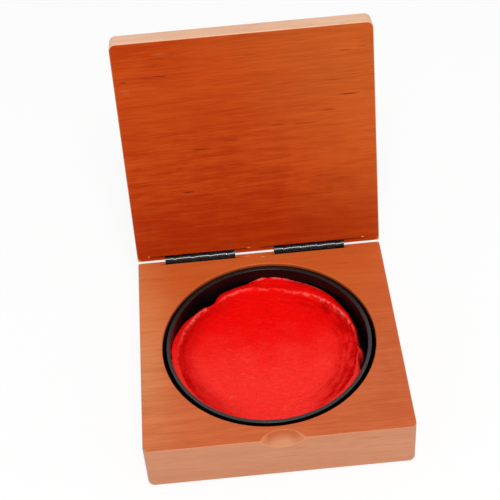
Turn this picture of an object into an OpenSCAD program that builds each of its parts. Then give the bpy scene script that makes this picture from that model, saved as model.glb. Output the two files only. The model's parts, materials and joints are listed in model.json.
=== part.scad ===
// Seal paste box: a wooden base with a round recess, a black cup of red paste in it,
// and a flat wooden lid on two barrel hinges. Drawn in millimetres with the lid open at its stop.
// The origin is the middle of the base's underside, the front faces -Y and +Z is up.

/* [Box] */
// Width of the box, left to right
box_w = 100; // [90:1:130]
// Depth of the box, front to back
box_d = 96; // [92:1:130]
// Height of the base block
base_h = 21.3; // [17:0.1:30]
// Thickness of the lid
lid_t = 9.8; // [8:0.1:14]
// Radius of the upright corners
corner_r = 2.5; // [2:0.1:4]
// Rounding of the edges under the base and on top of the lid
outer_round = 1.5; // [0.6:0.1:1.9]
// Rounding of the edges where the lid meets the base
meet_round = 0.45; // [0.2:0.05:0.8]

/* [Lid swing] */
// Angle from shut at which the hinges stop the open lid
open_angle = 103.7; // [95:0.1:110]
// Gap left between the lid and the base when shut
shut_gap = 0.1; // [0.04:0.02:0.3]

/* [Thumb notch] */
// Middle of the notch, measured to the right of the box's middle
notch_x = 1; // [-10:0.5:10]
// Width of the notch along the front edge
notch_w = 16.2; // [12:0.1:18]
// Radius of the ball that scoops the notch
notch_r = 11; // [10:0.1:13]

/* [Recess] */
// Diameter of the round recess in the base
recess_d = 82.8; // [76:0.2:83.6]
// Wood left under the recess
recess_floor = 4; // [3:0.1:6]
// Chamfer round the recess's mouth
recess_break = 0.4; // [0.2:0.05:0.6]

/* [Cup] */
// Gap all round between the cup and the recess
cup_gap = 1.6; // [0.8:0.1:2.5]
// Thickness of the cup's wall, which is also the width of its rounded rim
cup_wall = 1.5; // [1.2:0.1:2.5]
// Thickness of the cup's floor
cup_floor = 1.6; // [1.2:0.1:2.5]
// Radius inside the cup, between floor and wall
cup_fillet = 3; // [2:0.1:4]
// How far the rim lies below the top of the base
rim_drop = 0.3; // [0.1:0.05:0.6]

/* [Foam pad] */
// Diameter of the sticky foam pad that holds the cup
pad_d = 56; // [30:1:68]
// Thickness of the foam pad
pad_t = 0.8; // [0.5:0.1:1.5]

/* [Paste] */
// Depth of the paste's middle below the cup's rim
paste_drop = 5.8; // [5.2:0.1:7]
// Rise of the paste from its middle to the cup's wall
paste_rise = 1.5; // [0.5:0.1:2.5]
// Gap between the paste and the cup's wall
paste_gap = 0.1; // [0.05:0.05:0.3]

/* [Hinges] */
// Middle of the left hinge, measured to the left of the box's middle
hinge_left = 24.2; // [22:0.1:28]
// Middle of the right hinge, measured to the right of the box's middle
hinge_right = 20.8; // [19:0.1:28]
// Length of each hinge
hinge_len = 29; // [25:0.5:32]
// Diameter of the barrel
barrel_d = 3.2; // [3:0.1:3.6]
// Number of knuckles along the barrel
knuckles = 8; // [4:2:8]
// Gap between neighbouring knuckles
knuckle_gap = 0.12; // [0.08:0.02:0.3]
// How far the hinge line lies behind the rear faces
axis_back = 0.28; // [0.2:0.02:0.5]
// How far the hinge line lies above the top of the base
axis_up = 0.46; // [0.3:0.02:0.6]
// Diameter of the steel pin
pin_d = 1.4; // [1:0.1:1.6]
// Radial running clearance of the pin in the knuckles
pin_clear = 0.05; // [0.02:0.01:0.1]
// Distance of the pin's ends inside the barrel's ends
pin_inset = 0.4; // [0.1:0.1:1]
// Radial clearance of one leaf's barrel from the other leaf's fin and wing
leaf_clear = 0.2; // [0.15:0.05:0.3]

/* [Fins and saw cuts] */
// Thickness of the fin that sits in the wood
fin_t = 0.5; // [0.4:0.05:0.7]
// Gap between the barrel's radius and the fin's near face
fin_step = 0.1; // [0:0.02:0.14]
// Clearance on each side of the fin in its saw cut
fin_clear = 0.05; // [0.02:0.01:0.08]
// How far the fin stops short of the bottom of the base's cut
fin_short = 0.4; // [0.2:0.1:0.8]
// Depth of the saw cuts in the base
base_cut = 4.4; // [4:0.1:7]
// Depth of the saw cuts in the lid, which run out past the hinges
lid_cut = 6.5; // [5:0.1:7]
// Radius of the saw blade that made the cuts
blade_r = 36; // [30:1:40]
// Clearance of the barrel in the grooves along both edges
groove_clear = 0.3; // [0.25:0.05:0.45]

/* [Stop wings] */
// Radius to which the stop wings reach from the hinge line
wing_r = 2.8; // [2.5:0.1:3.2]
// Angle of each wing's back face from the shut line
wing_back = 85; // [75:1:88]
// Angle left between the two wings when the lid stands at its stop
stop_play = 0.3; // [0.2:0.1:1]

/* [Hidden] */
$fn = 96;
// Overlap that joins outlines which would only touch
eps = 0.01;
// How far a cutting shape runs past the surface it cuts
past = 1;
// Straight steps in the outline of the paste's face, and the power of its rise
paste_steps = 14;
paste_curve = 3;
cup_r = recess_d / 2 - cup_gap;
cup_in_r = cup_r - cup_wall;
cup_z = recess_floor + pad_t;
cup_h = base_h - rim_drop - cup_z;
paste_z = cup_z + cup_floor;
paste_r = cup_in_r - paste_gap;
paste_mid = base_h - rim_drop - paste_drop;
// The ball's centre lies this far out of the front face and as far above the top
notch_c = sqrt((notch_r * notch_r - notch_w * notch_w / 4) / 2);
lid_z = base_h + shut_gap;
axis_y = box_d / 2 + axis_back;
axis_z = base_h + axis_up;
barrel_r = barrel_d / 2;
groove_r = barrel_r + groove_clear;
pitch = hinge_len / knuckles;
// Distances of the fin's near and far faces from the hinge line
fin_near = barrel_r + fin_step;
fin_far = fin_near + fin_t;
// Depths below the hinge line at which the fin clears the other leaf's knuckles
// and at which a neck clears the groove's lower corner
fin_top = sqrt(max(0, pow(barrel_r + leaf_clear, 2) - fin_near * fin_near));
neck_low = sqrt(groove_r * groove_r - pow(fin_near - fin_clear, 2)) - fin_clear;
wing_in = barrel_r + leaf_clear;
wing_angle = (open_angle + stop_play) / 2;
hinge_xs = [-hinge_left, hinge_right];

wood = [0.76, 0.36, 0.14];
black = [0.07, 0.07, 0.08];
steel = [0.72, 0.73, 0.75];

// Extrudes a flat shape, drawn as (y, z), along X about the middle
module along_x(length) {
  translate([-length / 2, 0, 0])
    rotate([90, 0, 90])
      linear_extrude(length)
        children();
}

// Extrudes a flat shape, drawn as (x, z), along Y about the middle
module along_y(length) {
  translate([0, length / 2, 0])
    rotate([90, 0, 0])
      linear_extrude(length)
        children();
}

// Turns what is drawn in the shut position about the hinge line to the open position
module opened() {
  translate([0, axis_y, axis_z])
    rotate([-open_angle, 0, 0])
      translate([0, -axis_y, -axis_z])
        children();
}

// Cross section of a slab, from the middle out to half of its width, with rounded edges
module half_section(half, h, low, high) {
  square([half - max(low, high), h]);
  square([half - low, low + eps]);
  translate([0, h - high - eps])
    square([half - high, high + eps]);
  translate([0, low])
    square([half, h - low - high]);
  translate([half - low, low])
    circle(low);
  translate([half - high, h - high])
    circle(high);
}

module full_section(half, h, low, high) {
  half_section(half, h, low, high);
  mirror([1, 0, 0])
    half_section(half, h, low, high);
}

// Slab with round upright corners and rounded lower and upper edges
module slab(w, d, h, low, high) {
  for (sx = [-1, 1], sy = [-1, 1])
    translate([sx * (w / 2 - corner_r), sy * (d / 2 - corner_r), 0])
      rotate_extrude()
        intersection() {
          half_section(corner_r, h, low, high);
          square([corner_r, h]);
        }
  along_y(d - 2 * corner_r)
    full_section(w / 2, h, low, high);
  along_x(w - 2 * corner_r)
    full_section(d / 2, h, low, high);
}

// Room for a barrel in the wood's edge, along the hinge line
module barrel_groove() {
  translate([0, axis_y, axis_z])
    along_x(hinge_len + 2 * groove_clear)
      circle(groove_r);
}

// Round-bottomed saw cut for a fin, down from the base's top (side -1) or up from the lid's face
module saw_cut(side, face_z, depth) {
  translate([0, axis_y - fin_far - fin_clear, face_z + side * (depth - blade_r)])
    rotate([-90, 0, 0])
      cylinder(r = blade_r, h = fin_t + 2 * fin_clear);
}

module base_block() {
  color(wood)
    difference() {
      slab(box_w, box_d, base_h, outer_round, meet_round);
      translate([0, 0, recess_floor])
        cylinder(d = recess_d, h = base_h);
      translate([0, 0, base_h - recess_break])
        cylinder(r1 = recess_d / 2, r2 = recess_d / 2 + recess_break + past, h = recess_break + past);
      translate([notch_x, -box_d / 2 - notch_c, base_h + notch_c])
        sphere(notch_r);
      for (x = hinge_xs)
        translate([x, 0, 0]) {
          barrel_groove();
          saw_cut(-1, base_h, base_cut);
        }
    }
}

module lid_panel() {
  color(wood)
    opened()
      difference() {
        translate([0, 0, lid_z])
          slab(box_w, box_d, lid_t, meet_round, outer_round);
        for (x = hinge_xs)
          translate([x, 0, 0]) {
            barrel_groove();
            saw_cut(1, lid_z, lid_cut);
          }
      }
}

module cup_foam_pad() {
  color([0.9, 0.9, 0.87])
    translate([0, 0, recess_floor])
      cylinder(d = pad_d, h = pad_t);
}

// Half outline of a round dish, closed at the axis, with a rounded lower corner
module dish_section(r, h, fillet) {
  square([r - fillet, h]);
  translate([0, fillet])
    square([r, h - fillet]);
  translate([r - fillet, fillet])
    circle(fillet);
}

module paste_cup() {
  wall_top = cup_h - cup_wall / 2;
  color(black)
    translate([0, 0, cup_z])
      rotate_extrude() {
        difference() {
          dish_section(cup_r, wall_top, cup_fillet);
          translate([0, cup_floor])
            dish_section(cup_in_r, cup_h, cup_fillet);
        }
        translate([cup_r - cup_wall / 2, wall_top])
          circle(cup_wall / 2);
      }
}

// Height of the paste above its middle at a share t of its radius
function paste_lift(t) = paste_rise * pow(t, paste_curve);

module seal_paste() {
  depth = paste_mid - paste_z;
  tall = depth + paste_rise + past;
  top = [
    for (i = [0:paste_steps])
      [paste_r * i / paste_steps, depth + paste_lift(i / paste_steps)]
  ];
  color([0.87, 0.07, 0.05])
    translate([0, 0, paste_z])
      rotate_extrude()
        intersection() {
          dish_section(paste_r, tall, cup_fillet);
          polygon(concat(top, [[paste_r + past, tall], [paste_r + past, -past], [0, -past]]));
        }
}

// Flat ring between two radii and two angles, seen along the hinge line
module ring_sector(r_in, r_out, from, to) {
  reach = 2 * r_out;
  intersection() {
    difference() {
      circle(r_out);
      circle(r_in);
    }
    polygon([[0, 0], reach * [cos(from), sin(from)], reach * [cos(to), sin(to)]]);
  }
}

module at_knuckle(i) {
  translate([(i + 0.5) * pitch - hinge_len / 2, 0, 0])
    along_x(pitch - knuckle_gap)
      children();
}

// One leaf about the hinge line: its knuckles and their necks, the fin, which points down,
// and the wing behind the barrel that meets the other leaf's wing when the lid is open.
// face is the depth below the hinge line at which this leaf's wood begins
module leaf(first, face) {
  wing_root = barrel_r - pin_clear - leaf_clear;
  neck_top = face + knuckle_gap / 2;
  fin_end = face + base_cut;
  difference() {
    union() {
      for (i = [first:2:knuckles - 1])
        at_knuckle(i) {
          circle(barrel_r);
          translate([-fin_far, -neck_low])
            square([fin_far, neck_low - neck_top]);
          ring_sector(wing_root, wing_r, -wing_back, -wing_angle);
        }
      along_x(hinge_len)
        ring_sector(wing_in, wing_r, -wing_back, -wing_angle);
      intersection() {
        translate([-hinge_len / 2, -fin_far, -fin_end])
          cube([hinge_len, fin_t, fin_end - fin_top]);
        translate([0, 0, blade_r - fin_end])
          rotate([90, 0, 0])
            cylinder(r = blade_r - fin_short, h = 2 * fin_far + past);
      }
    }
    along_x(hinge_len + past)
      circle(pin_d / 2 + pin_clear);
  }
}

module base_leaf(x) {
  color(black)
    translate([x, axis_y, axis_z])
      leaf(0, axis_up);
}

module lid_leaf(x) {
  color(black)
    opened()
      translate([x, axis_y, axis_z])
        mirror([0, 0, 1])
          leaf(1, shut_gap - axis_up);
}

module hinge_pin(x) {
  color(steel)
    translate([x, axis_y, axis_z])
      along_x(hinge_len - 2 * pin_inset)
        circle(d = pin_d);
}

base_block();
lid_panel();
cup_foam_pad();
paste_cup();
seal_paste();
base_leaf(-hinge_left);  // left_hinge_base_leaf
lid_leaf(-hinge_left);  // left_hinge_lid_leaf
hinge_pin(-hinge_left);  // left_hinge_pin
base_leaf(hinge_right);  // right_hinge_base_leaf
lid_leaf(hinge_right);  // right_hinge_lid_leaf
hinge_pin(hinge_right);  // right_hinge_pin
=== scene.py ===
"""Seal paste box, seen open: a wooden base with a cup of red paste let into it, and a
wooden lid on two black barrel hinges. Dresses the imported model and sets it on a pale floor.
Lengths are in metres; those given in millimetres are multiplied by MM."""
import json
import math

import bmesh
import bpy
import numpy as np
from mathutils import Matrix, Vector, noise


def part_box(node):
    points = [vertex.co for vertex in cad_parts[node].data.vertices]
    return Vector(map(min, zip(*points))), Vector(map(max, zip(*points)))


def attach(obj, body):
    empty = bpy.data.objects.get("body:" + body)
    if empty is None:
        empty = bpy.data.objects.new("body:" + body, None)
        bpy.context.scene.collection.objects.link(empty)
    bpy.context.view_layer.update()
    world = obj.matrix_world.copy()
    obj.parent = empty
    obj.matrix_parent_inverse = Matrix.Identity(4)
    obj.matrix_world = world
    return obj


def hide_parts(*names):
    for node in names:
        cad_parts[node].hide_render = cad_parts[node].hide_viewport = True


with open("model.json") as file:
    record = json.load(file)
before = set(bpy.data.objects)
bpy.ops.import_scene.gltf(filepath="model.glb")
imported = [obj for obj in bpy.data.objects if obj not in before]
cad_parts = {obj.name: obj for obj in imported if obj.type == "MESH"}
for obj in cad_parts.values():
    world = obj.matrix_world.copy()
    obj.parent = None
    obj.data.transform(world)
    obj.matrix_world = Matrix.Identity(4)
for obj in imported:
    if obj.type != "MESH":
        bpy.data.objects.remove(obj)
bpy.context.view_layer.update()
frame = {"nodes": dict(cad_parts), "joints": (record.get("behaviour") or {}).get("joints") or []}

bl_info = {
    "name": "Seal paste box",
    "version": (1, 0, 0),
    "blender": (4, 5, 0),
    "location": "3D View > Sidebar > Seal box",
    "description": "Models a wooden seal paste box around its packed frame",
    "category": "Add Mesh",
}

MM = 0.001
BASE_LOW, BASE_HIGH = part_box("base_block")
LID_JOINT = frame["joints"][0]
HINGE_LINE = Vector(LID_JOINT["pos_m"])
OPEN_ANGLE = math.radians(LID_JOINT["range_deg"][1])
PASTE_LOW, PASTE_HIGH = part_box("seal_paste")
CUP_LOW, CUP_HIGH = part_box("paste_cup")
PAD_LOW, PAD_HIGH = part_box("cup_foam_pad")
SAME = 1e-6  # places nearer than this, in metres, count as one
LIP_DEPTH, LIP_END = 0.985, 97  # a lip's middle in radii below the face, its last angle
CUT_PAST = 2 * MM  # how far a cutter reaches out of the wood


def length(name, description, value_mm):
    """A length property with its default in millimetres."""
    return bpy.props.FloatProperty(
        name=name, description=description, default=value_mm * MM, min=0, unit="LENGTH",
        precision=5,
    )


def colour(name, description, red, green, blue):
    """A colour property with linear values."""
    return bpy.props.FloatVectorProperty(
        name=name, description=description, default=(red, green, blue), size=3, min=0,
        max=1, subtype="COLOR",
    )


class SEALBOX_PG_wood(bpy.types.PropertyGroup):
    """Sizes and colours of the wooden base and lid"""

    corner: length("Front corners", "Radius of the upright corners in front", 2.5)
    back_corner: length("Back corners", "Radius of the upright corners by the hinges", 0.8)
    outer_round: length("Outer rounding", "Rounding under the base and on the lid", 1.5)
    meet_round: length("Meeting rounding", "Rounding where lid and base meet", 0.45)
    lid_thickness: length("Lid thickness", "Thickness of the lid", 9.8)
    shut_gap: length("Shut gap", "Gap between the shut lid and the base", 0.1)
    hinge_round: length("Hinge side rounding", "Rounding of the edges at the hinges", 0.2)
    recess_radius: length("Recess radius", "Radius of the round recess", 41.4)
    recess_floor: length("Recess floor", "Wood left under the recess", 4)
    recess_lip: length("Recess lip", "Rounding of the recess's mouth", 0.5)
    notch_offset: length("Notch offset", "Notch's middle, right of the box's middle", 1)
    notch_width: length("Notch width", "Width of the thumb notch along the edge", 16.2)
    notch_radius: length("Notch radius", "Radius of the ball that scoops the notch", 11)
    notch_lip: length("Notch lip", "Rounding of the notch's rim", 0.4)
    groove_radius: length("Groove radius", "Radius of the grooves for the barrels", 1.9)
    groove_length: length("Groove length", "Length of the grooves for the barrels", 29.1)
    blade_radius: length("Blade radius", "Radius of the saw that cut the slots", 36)
    slot_width: length("Slot width", "Width of the saw cuts for the fins", 0.6)
    slot_back: length("Slot place", "Saw cut's far side, in front of the hinge line", 2.25)
    base_slot: length("Base slot depth", "Depth of the saw cuts in the base", 4.4)
    lid_slot: length("Lid slot depth", "Depth of the saw cuts in the lid", 6.5)
    base_pale: colour("Base, pale", "Pale bands of the base's wood", 0.615, 0.142, 0.042)
    base_deep: colour("Base, deep", "Deep bands of the base's wood", 0.50, 0.092, 0.024)
    base_amber: colour("Base, amber", "Yellower wood along the left", 0.76, 0.32, 0.12)
    # painted shade: the base's top is deeper towards the hinges, where its sheen fades
    base_back_shade: colour("Base, by the hinges", "Deeper wood there", 0.61, 0.098, 0.007)
    # painted sheen: the base's sides are made paler to stand in for reflected light
    base_side_sheen: colour("Base, sides", "Paler wood of the base's sides", 0.61, 0.26, 0.135)
    lid_pale: colour("Lid, pale", "Pale bands of the lid's wood", 0.51, 0.066, 0.006)
    lid_deep: colour("Lid, deep", "Deep bands of the lid's wood", 0.385, 0.031, 0.002)
    lid_amber: colour("Lid, amber", "Yellower wood at the lid's right", 0.57, 0.105, 0.016)
    lid_low: colour("Lid, by the hinges", "Deeper wood there", 0.35, 0.020, 0.001)
    # painted sheen: the lid's sides are made paler to stand in for reflected light
    lid_side_sheen: colour("Lid, sides", "Paler wood of the lid's sides", 0.66, 0.30, 0.16)
    # painted highlight: the lid's front edge is made palest, as if the light above caught it
    lid_front_highlight: colour("Lid, front", "Palest wood of the lid's front edge", 0.93, 0.59, 0.40)
    # painted shade: the recess's wall is made dark below its mouth
    recess: colour("Recess wall", "Dark stain on the recess's wall", 0.030, 0.010, 0.006)
    pore: colour("Pores", "Short dark pores in the wood", 0.12, 0.012, 0.004)
    scratch: colour("Scratches", "Pale scratches and chips", 0.82, 0.42, 0.22)


class SEALBOX_PG_cup(bpy.types.PropertyGroup):
    """Sizes and colours of the cup, its foam pad and the paste"""

    wall: length("Cup wall", "Thickness of the cup's wall", 1.5)
    floor: length("Cup floor", "Thickness of the cup's floor", 1.6)
    fillet: length("Cup fillet", "Radius between the cup's floor and wall", 3)
    rim_outside: length("Rim, outside", "Rounding of the rim's outer edge", 0.28)
    rim_inside: length("Rim, inside", "Rounding of the rim's inner edge", 0.35)
    paste_middle: length("Paste level", "Height of the paste's middle", 14.8)
    lip_width: length("Lip width", "Width of the slope inside the paste's ridge", 1.5)
    grain: length("Paste grain", "Height of the paste's fine wrinkles", 0.13)
    black: colour("Cup black", "Glossy black of the cup", 0.003, 0.0025, 0.003)
    red: colour("Paste red", "Bright red of the paste", 0.93, 0.003, 0.002)
    # painted sheen: the paste's paler red in front
    sheen: colour("Paste, paler", "Paler red of the paste in front", 0.99, 0.030, 0.023)
    # painted highlight: pale pink for the paste's ridge and glints
    ridge: colour("Paste ridge", "Pale pink of the paste's ridge", 0.98, 0.17, 0.14)
    foam: colour("Foam", "Off-white of the foam pad", 0.80, 0.80, 0.76)


class SEALBOX_PG_hinge(bpy.types.PropertyGroup):
    """Sizes and colours of the hinges"""

    left: length("Left hinge", "Left hinge's middle, left of the box's middle", 24.2)
    right: length("Right hinge", "Right hinge's middle, right of the box's middle", 20.8)
    span: length("Hinge length", "Length of each hinge", 29)
    barrel: length("Barrel radius", "Radius of the barrel", 1.6)
    bore: length("Bore radius", "Radius of the bore for the pin", 0.75)
    gap: length("Knuckle gap", "Gap between neighbouring knuckles", 0.12)
    edge: length("Knuckle edge", "Rounding of a knuckle's ends", 0.08)
    fin_near: length("Fin, near face", "Fin's near face, in front of the line", 1.7)
    fin_far: length("Fin, far face", "Fin's far face, in front of the line", 2.2)
    wing_reach: length("Wing reach", "Radius that the stop wings reach", 2.8)
    knuckles: bpy.props.IntProperty(
        name="Knuckles", description="Knuckles along a barrel", default=8, min=4, max=12
    )
    black: colour("Hinge black", "Glossy black of the hinges", 0.002, 0.0015, 0.0015)
    steel: colour("Pin steel", "Drawn steel of the pins", 0.60, 0.60, 0.62)


class SEALBOX_PG_stage(bpy.types.PropertyGroup):
    """The floor, the lamps and the surroundings"""

    floor_radius: length("Floor radius", "Radius of the floor", 2500)
    floor: colour("Floor", "Colour of the floor", 0.95, 0.95, 0.95)
    around: bpy.props.FloatProperty(
        name="Surroundings", description="Level of light from all around", default=0.51
    )
    key_power: bpy.props.FloatProperty(
        name="Key lamp", description="Power of the lamp above the camera", default=8.0,
        unit="POWER",
    )
    lens: bpy.props.FloatProperty(
        name="Lens", description="Focal length of the camera", default=94.63,
        unit="CAMERA",
    )


def deselect():
    """Leaves edit mode and deselects everything."""
    if bpy.context.mode != "OBJECT":
        bpy.ops.object.mode_set(mode="OBJECT")
    bpy.ops.object.select_all(action="DESELECT")


def take(piece):
    """Makes one piece the only selected and active object."""
    deselect()
    piece.select_set(True)
    bpy.context.view_layer.objects.active = piece
    return piece


def named(name):
    """Names the object that an operator has just added."""
    piece = bpy.context.object
    piece.name = name
    piece.data.name = name
    return piece


def settle(piece):
    """Puts the piece's place and turn into its mesh, so its object is at the origin."""
    take(piece)
    bpy.ops.object.transform_apply(location=True, rotation=True, scale=True)
    return piece


def edit(piece):
    """Enters edit mode on one piece, with all of it selected."""
    take(piece)
    bpy.ops.object.mode_set(mode="EDIT")
    bpy.ops.mesh.select_all(action="SELECT")


def closed(piece):
    """Turns an edited piece's faces outward and leaves edit mode."""
    bpy.ops.mesh.select_all(action="SELECT")
    bpy.ops.mesh.normals_make_consistent(inside=False)
    bpy.ops.object.mode_set(mode="OBJECT")
    return piece


def pick(piece, kind, wanted):
    """In edit mode, selects each point (VERT) or edge (EDGE) that passes the test, which
    gets the place of the point or the places of the edge's two ends."""
    bpy.ops.mesh.select_mode(type=kind)
    bpy.ops.mesh.select_all(action="DESELECT")
    mesh = bmesh.from_edit_mesh(piece.data)
    for part in mesh.verts if kind == "VERT" else mesh.edges:
        ends = [part] if kind == "VERT" else part.verts
        if wanted(*(end.co for end in ends)):
            part.select_set(True)
    mesh.select_flush_mode()
    bmesh.update_edit_mesh(piece.data)


def arc(middle_r, middle_z, radius, start, end, steps):
    """Points of an arc in an outline, from one angle to another in degrees."""
    turns = [math.radians(start + (end - start) * i / steps) for i in range(steps + 1)]
    return [
        (middle_r + radius * math.cos(t), middle_z + radius * math.sin(t)) for t in turns
    ]


def drawn_line(name, points):
    """Draws a line through points by extruding one vertex from each to the next."""
    deselect()
    bpy.ops.mesh.primitive_plane_add(size=MM)
    piece = named(name)
    bpy.ops.object.mode_set(mode="EDIT")
    bpy.ops.mesh.select_mode(type="VERT")
    bpy.ops.mesh.select_all(action="SELECT")
    bpy.ops.mesh.merge(type="CENTER")
    bpy.ops.transform.translate(value=points[0])
    for here, there in zip(points, points[1:]):
        step = [b - a for a, b in zip(here, there)]
        bpy.ops.mesh.extrude_region_move(TRANSFORM_OT_translate={"value": step})
    bpy.ops.mesh.select_all(action="SELECT")
    bpy.ops.mesh.remove_doubles(threshold=SAME)
    return piece


def spun(name, outline, steps=192):
    """Turns an outline of (radius, height) right round an upright axis."""
    piece = drawn_line(name, [(r, 0, z) for r, z in outline])
    bpy.ops.mesh.select_all(action="SELECT")
    bpy.ops.mesh.spin(
        steps=steps, angle=math.tau, center=(0, 0, 0), axis=(0, 0, 1), use_auto_merge=True
    )
    bpy.ops.mesh.select_all(action="SELECT")
    bpy.ops.mesh.remove_doubles(threshold=SAME)
    return closed(piece)


def prism(name, outline, start, end):
    """Fills an outline of (y, z) and extrudes it along X from start to end."""
    piece = drawn_line(name, [(start, y, z) for y, z in [*outline, outline[0]]])
    bpy.ops.mesh.select_all(action="SELECT")
    bpy.ops.mesh.edge_face_add()
    bpy.ops.mesh.extrude_region_move(
        TRANSFORM_OT_translate={"value": (end - start, 0, 0)}
    )
    return closed(piece)


def combine(piece, others, operation):
    """Cuts other solids from a piece or joins them to it, and removes them."""
    for other in others:
        take(piece)
        bpy.ops.object.modifier_add(type="BOOLEAN")
        step = piece.modifiers[-1]
        step.operation = operation
        step.solver = "EXACT"
        step.object = other
        bpy.ops.object.modifier_apply(modifier=step.name)
        bpy.data.objects.remove(other)
    return piece


def smooth(piece, angle=35, weighted=True):
    """Shades a piece smooth up to an angle, and keeps its flat faces flat."""
    take(piece)
    bpy.ops.object.shade_smooth_by_angle(angle=math.radians(angle))
    if weighted:
        bpy.ops.object.modifier_add(type="WEIGHTED_NORMAL")
        step = piece.modifiers[-1]
        step.keep_sharp = True
        step.weight = 60  # of 100: large faces keep their own direction
        bpy.ops.object.modifier_apply(modifier=step.name)
    return piece


def twin(piece, name, shift=(0, 0, 0)):
    """Copies a piece with a mesh of its own and moves the copy."""
    take(piece)
    bpy.ops.object.duplicate(linked=False)
    copy = named(name)
    copy.location = shift
    return settle(copy)


def dressed(piece, material, body, slot, *nodes):
    """Gives a finished piece its material and its body, and hides the nodes that it stands for.
    """
    piece.data.materials.clear()
    piece.data.materials.append(material)
    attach(piece, body)
    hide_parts(*nodes)
    return piece


def swing_open(piece):
    """Turns a piece made in the shut position about the hinge line to the open one."""
    piece.matrix_world = (
        Matrix.Translation(HINGE_LINE)
        @ Matrix.Rotation(-OPEN_ANGLE, 4, "X")
        @ Matrix.Translation(-HINGE_LINE)
    )
    return settle(piece)


def rounded_slab(name, low, high, wood, low_round, high_round):
    """A block with round upright corners and rounded lower and upper edges."""
    deselect()
    size = high - low
    bpy.ops.mesh.primitive_cube_add(size=1, location=(low + high) / 2, scale=size)
    piece = settle(named(name))
    edit(piece)
    pick(piece, "EDGE", lambda a, b: abs(a.z - b.z) > size.z / 2 and a.y < 0)
    bpy.ops.mesh.bevel(offset=wood.corner, segments=12, affect="EDGES")
    widest = max(low_round, high_round, wood.back_corner)
    for level, radius in ((low.z, low_round), (high.z, high_round)):
        by_hinges = wood.hinge_round if radius == wood.meet_round else radius
        for at_back, width in ((False, radius), (True, by_hinges)):
            pick(
                piece, "EDGE", lambda a, b: max(abs(a.z - level), abs(b.z - level)) < SAME
                and (min(a.y, b.y) > high.y - SAME) == at_back
            )
            bpy.ops.transform.edge_bevelweight(value=width / widest)
    pick(piece, "EDGE", lambda a, b: abs(a.z - b.z) > size.z / 2 and a.y > high.y - SAME)
    bpy.ops.transform.edge_bevelweight(value=wood.back_corner / widest)
    bpy.ops.object.mode_set(mode="OBJECT")
    bpy.ops.object.modifier_add(type="BEVEL")
    step = piece.modifiers[-1]
    step.limit_method = "WEIGHT"
    step.width = widest
    step.segments = 8
    step.use_clamp_overlap = False
    bpy.ops.object.modifier_apply(modifier=step.name)
    return piece


def recess_cutter(wood, top):
    """The round recess, with a rounded mouth that runs out into the base's top."""
    radius, lip, corner = wood.recess_radius, wood.recess_lip, 0.6 * MM
    start = wood.recess_floor
    outline = [(0, start)]
    outline += arc(radius - corner, start + corner, corner, -90, 0, 4)
    outline += arc(radius + lip, top - LIP_DEPTH * lip, lip, 180, LIP_END, 8)
    outline += [(outline[-1][0], top + CUT_PAST), (0, top + CUT_PAST)]
    return spun("recess_cutter", outline, 256)


def ball_offset(wood):
    """How far the middle of the notch's ball lies above the top and before the front."""
    return math.sqrt((wood.notch_radius**2 - wood.notch_width**2 / 4) / 2)


def notch_cutter(wood, top, front):
    """The thumb notch: a ball with a rounded rim in the box's top, halved on the slope
    between top and front and joined to its mirror image, which has the rim in front."""
    radius, lip = wood.notch_radius, wood.notch_lip
    out = ball_offset(wood)
    rim_z = -(out + LIP_DEPTH * lip)
    rim_r = math.sqrt((radius + lip) ** 2 - rim_z**2)
    turn = math.degrees(math.asin(-rim_z / (radius + lip)))
    outline = arc(0, 0, radius, -90, -turn, 24)
    outline += arc(rim_r, rim_z, lip, 180 - turn, LIP_END, 6)
    outline += [(outline[-1][0], -out + 3 * MM), (0, -out + 3 * MM)]
    upper = spun("notch_cutter", outline, 160)
    edit(upper)
    bpy.ops.mesh.bisect(
        plane_co=(0, 0, 0), plane_no=(0, 1, 1), clear_inner=True, threshold=1e-8
    )
    bpy.ops.object.mode_set(mode="OBJECT")
    lower = twin(upper, "notch_mirror")
    lower.scale = (1, 1, -1)
    lower.rotation_euler = (-math.pi / 2, 0, 0)
    settle(lower)
    take(upper)
    lower.select_set(True)
    bpy.ops.object.join()
    edit(upper)
    bpy.ops.mesh.remove_doubles(threshold=2 * SAME)
    bpy.ops.mesh.quads_convert_to_tris()
    closed(upper)
    upper.location = (wood.notch_offset, front - out, top + out)
    return settle(upper)


def hinge_cutters(wood, hinge, face, side, depth):
    """The groove for each barrel and the saw cut for each fin."""
    made = []
    slot_y = HINGE_LINE.y - wood.slot_back + wood.slot_width / 2
    for x in (-hinge.left, hinge.right):
        deselect()
        bpy.ops.mesh.primitive_cylinder_add(
            vertices=64, radius=wood.groove_radius, depth=wood.groove_length,
            location=(x, HINGE_LINE.y, HINGE_LINE.z), rotation=(0, math.pi / 2, 0),
        )
        made.append(settle(named("barrel_groove")))
        deselect()
        bpy.ops.mesh.primitive_cylinder_add(
            vertices=512, radius=wood.blade_radius, depth=wood.slot_width,
            location=(x, slot_y, face + side * (depth - wood.blade_radius)),
            rotation=(math.pi / 2, 0, 0),
        )
        made.append(settle(named("saw_cut")))
    return made


class SEALBOX_OT_base(bpy.types.Operator):
    """Models the wooden base with its recess, thumb notch, grooves and saw cuts"""

    bl_idname = "sealbox.base"
    bl_label = "Wooden base"

    def execute(self, context):
        wood, hinge = context.scene.sealbox_wood, context.scene.sealbox_hinge
        block = rounded_slab(
            "wooden_base", BASE_LOW, BASE_HIGH, wood, wood.outer_round, wood.meet_round
        )
        top, front = BASE_HIGH.z, BASE_LOW.y
        cutters = [recess_cutter(wood, top), notch_cutter(wood, top, front)]
        cutters += hinge_cutters(wood, hinge, top, -1, wood.base_slot)
        combine(block, cutters, "DIFFERENCE")
        smooth(block)
        finish = wood_finish("base_lacquer", wood)
        dressed(block, finish, "base", "base_wood", "base_block")
        return {"FINISHED"}


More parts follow.
